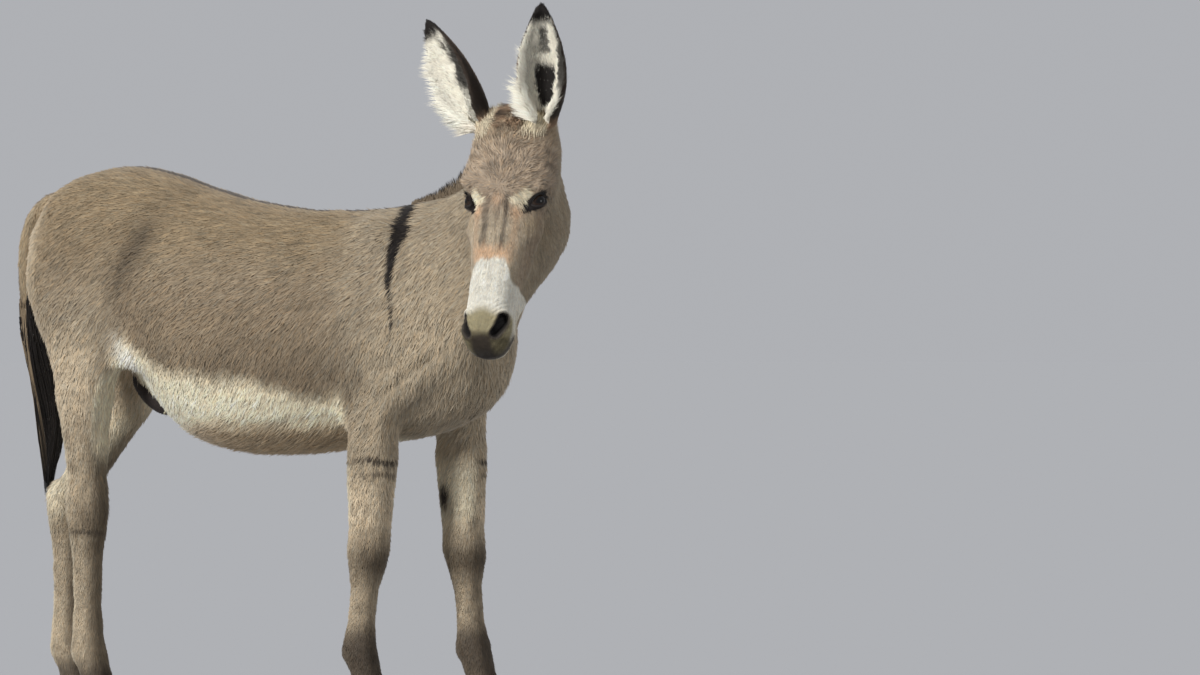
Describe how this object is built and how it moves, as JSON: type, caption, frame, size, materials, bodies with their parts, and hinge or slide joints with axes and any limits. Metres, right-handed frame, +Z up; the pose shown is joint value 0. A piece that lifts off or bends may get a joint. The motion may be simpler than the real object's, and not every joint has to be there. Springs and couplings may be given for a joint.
{
  "type": "donkey",
  "caption": "Still, life-size standing donkey with its head turned to its right, long ears, upright mane, tufted tail and flat-soled hooves that rest on the floor",
  "frame": {"origin": "on the floor, in the middle of the animal's box seen from above", "axes": "+X is the way the body faces, +Y is its left side, +Z is up"},
  "size_m": [1.4376, 0.5492, 1.5344],
  "materials": {
    "coat": "matte",
    "dark_hair": "matte",
    "horn": "satin",
    "eye": "gloss",
    "bare_skin": "satin"
  },
  "bodies": {
    "root": {"trunk": "coat", "neck": "coat", "head": "coat", "foreleg_left": "coat", "foreleg_right": "coat", "hindleg_left": "coat", "hindleg_right": "coat", "hoof_fore_left": "horn", "hoof_fore_right": "horn", "hoof_hind_left": "horn", "hoof_hind_right": "horn", "ear_left": "coat", "ear_right": "coat", "eye_left": "eye", "eye_right": "eye", "mane": "dark_hair", "tail_dock": "coat", "tail_switch": "dark_hair", "sheath": "bare_skin"}
  },
  "joints": []
}
